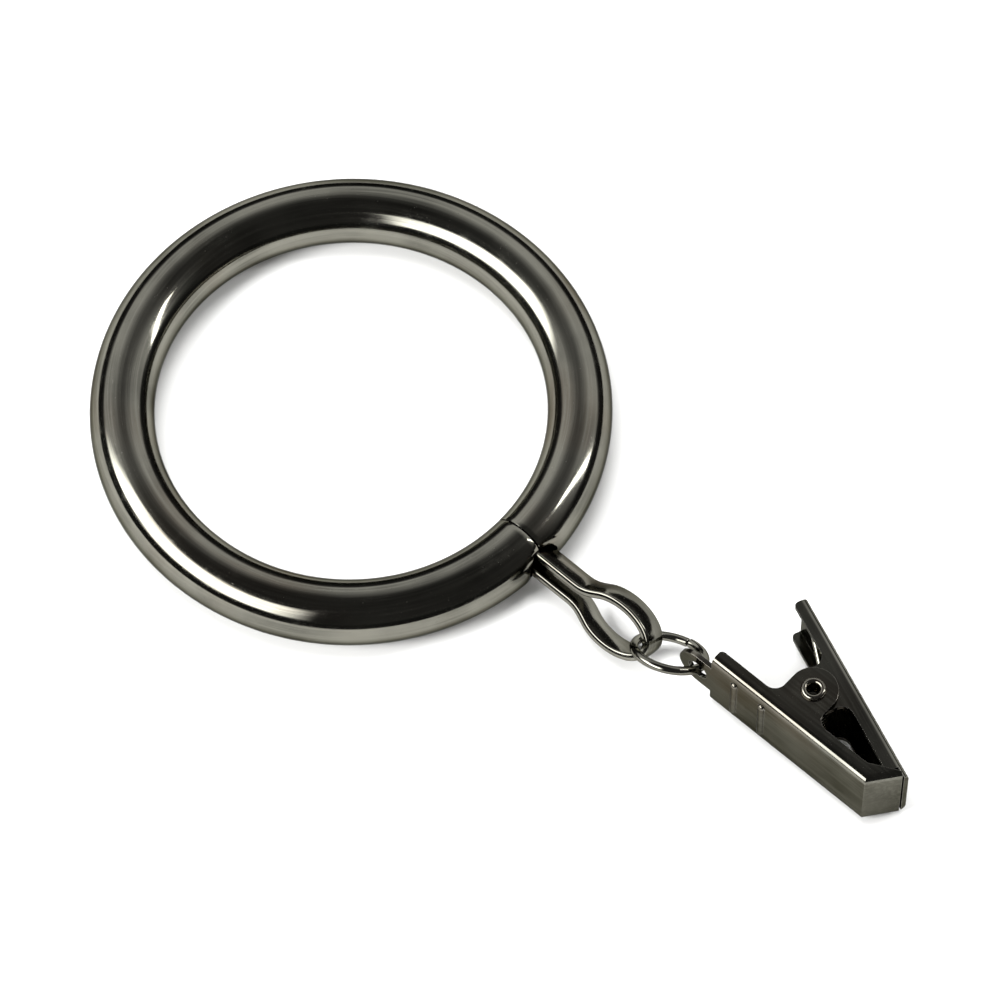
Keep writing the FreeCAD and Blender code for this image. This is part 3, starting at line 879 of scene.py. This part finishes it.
def stagePiece(name, shape, material, seen):
    mesh = meshFrom(name, shape)
    mesh.materials.append(material)
    piece = bpy.data.objects.new(name, mesh)
    bpy.context.scene.collection.objects.link(piece)
    piece.visible_camera = seen
    piece.visible_diffuse = seen
    piece.visible_shadow = seen


def makeStage():
    look = stageLook
    shape = bmesh.new()
    bmesh.ops.create_grid(shape, x_segments=1, y_segments=1, size=look["floorSize"] * mm)
    bmesh.ops.translate(shape, verts=shape.verts, vec=(0, 0, cadBox[0].z))
    stagePiece("floor_paper", shape, paper(), True)

    sides = circle(look["wallRadius"], look["wallSides"])
    shape = bmesh.new()
    loops = []
    for up in (look["wallBottom"], look["wallTop"]):
        loops.append([shape.verts.new(Vector((across, along, up)) * mm) for across, along in sides])
    for number in range(len(sides)):
        after = (number + 1) % len(sides)
        shape.faces.new((loops[0][number], loops[0][after], loops[1][after], loops[1][number]))
    stagePiece("dark_wall", shape, glowing("wall_cloth", wallGlow), False)

    shape = bmesh.new()
    bmesh.ops.create_uvsphere(shape, u_segments=look["tentSides"][0], v_segments=look["tentSides"][1],
                              radius=look["tentRadius"] * mm)
    below = [vertex for vertex in shape.verts if vertex.co.z < -mm]
    bmesh.ops.delete(shape, geom=below, context="VERTS")
    stagePiece("tent", shape, glowing("tent_cloth", tentGlow), False)


lampLook = {
    "key": {"azimuth": -111, "elevation": 35, "distance": 440, "width": 150, "height": 210,
            "power": 2.6, "mirrored": False},
    "strip": {"azimuth": 55, "elevation": 38, "distance": 440, "width": 40, "height": 240,
              "power": 0.5, "mirrored": True},
    "fill": {"azimuth": 150, "elevation": 75, "distance": 650, "width": 420, "height": 420,
             "power": 4.5, "mirrored": False},
}


def makeLamp(name, look):
    light = bpy.data.lights.new(name, "AREA")
    light.shape = "RECTANGLE"
    light.size = look["width"] * mm
    light.size_y = look["height"] * mm
    light.energy = look["power"]
    lamp = bpy.data.objects.new(name, light)
    aimed(lamp, look)
    lamp.visible_camera = False
    lamp.visible_glossy = look["mirrored"]


# The world is white to the camera and in reflections, and lights the floor at a lower level.
def makeWorld():
    grey = stageLook["worldGrey"]
    world = bpy.data.worlds.new("studio")
    bpy.context.scene.world = world
    finish = Finish(world)
    finish.tree.nodes.clear()
    rays = finish.node("ShaderNodeLightPath").socket.node.outputs
    kinds = ("Is Camera Ray", "Is Glossy Ray", "Is Transmission Ray")
    camera, glossy, transmission = [Flow(finish, rays[kind]) for kind in kinds]
    white = finish.maths("MINIMUM", camera + glossy + transmission, 1.0)
    back = finish.node("ShaderNodeBackground", {},
                       {"Color": colour((1, 1, 1)), "Strength": grey + (1 - grey) * white})
    output = finish.tree.nodes.new("ShaderNodeOutputWorld")
    finish.tree.links.new(back.socket, output.inputs["Surface"])


makeCamera()
makeStage()
for lampName, lampSettings in lampLook.items():
    makeLamp(lampName, lampSettings)
makeWorld()
bpy.context.scene.view_settings.view_transform = "Standard"
print("camera, stage and lamps made")
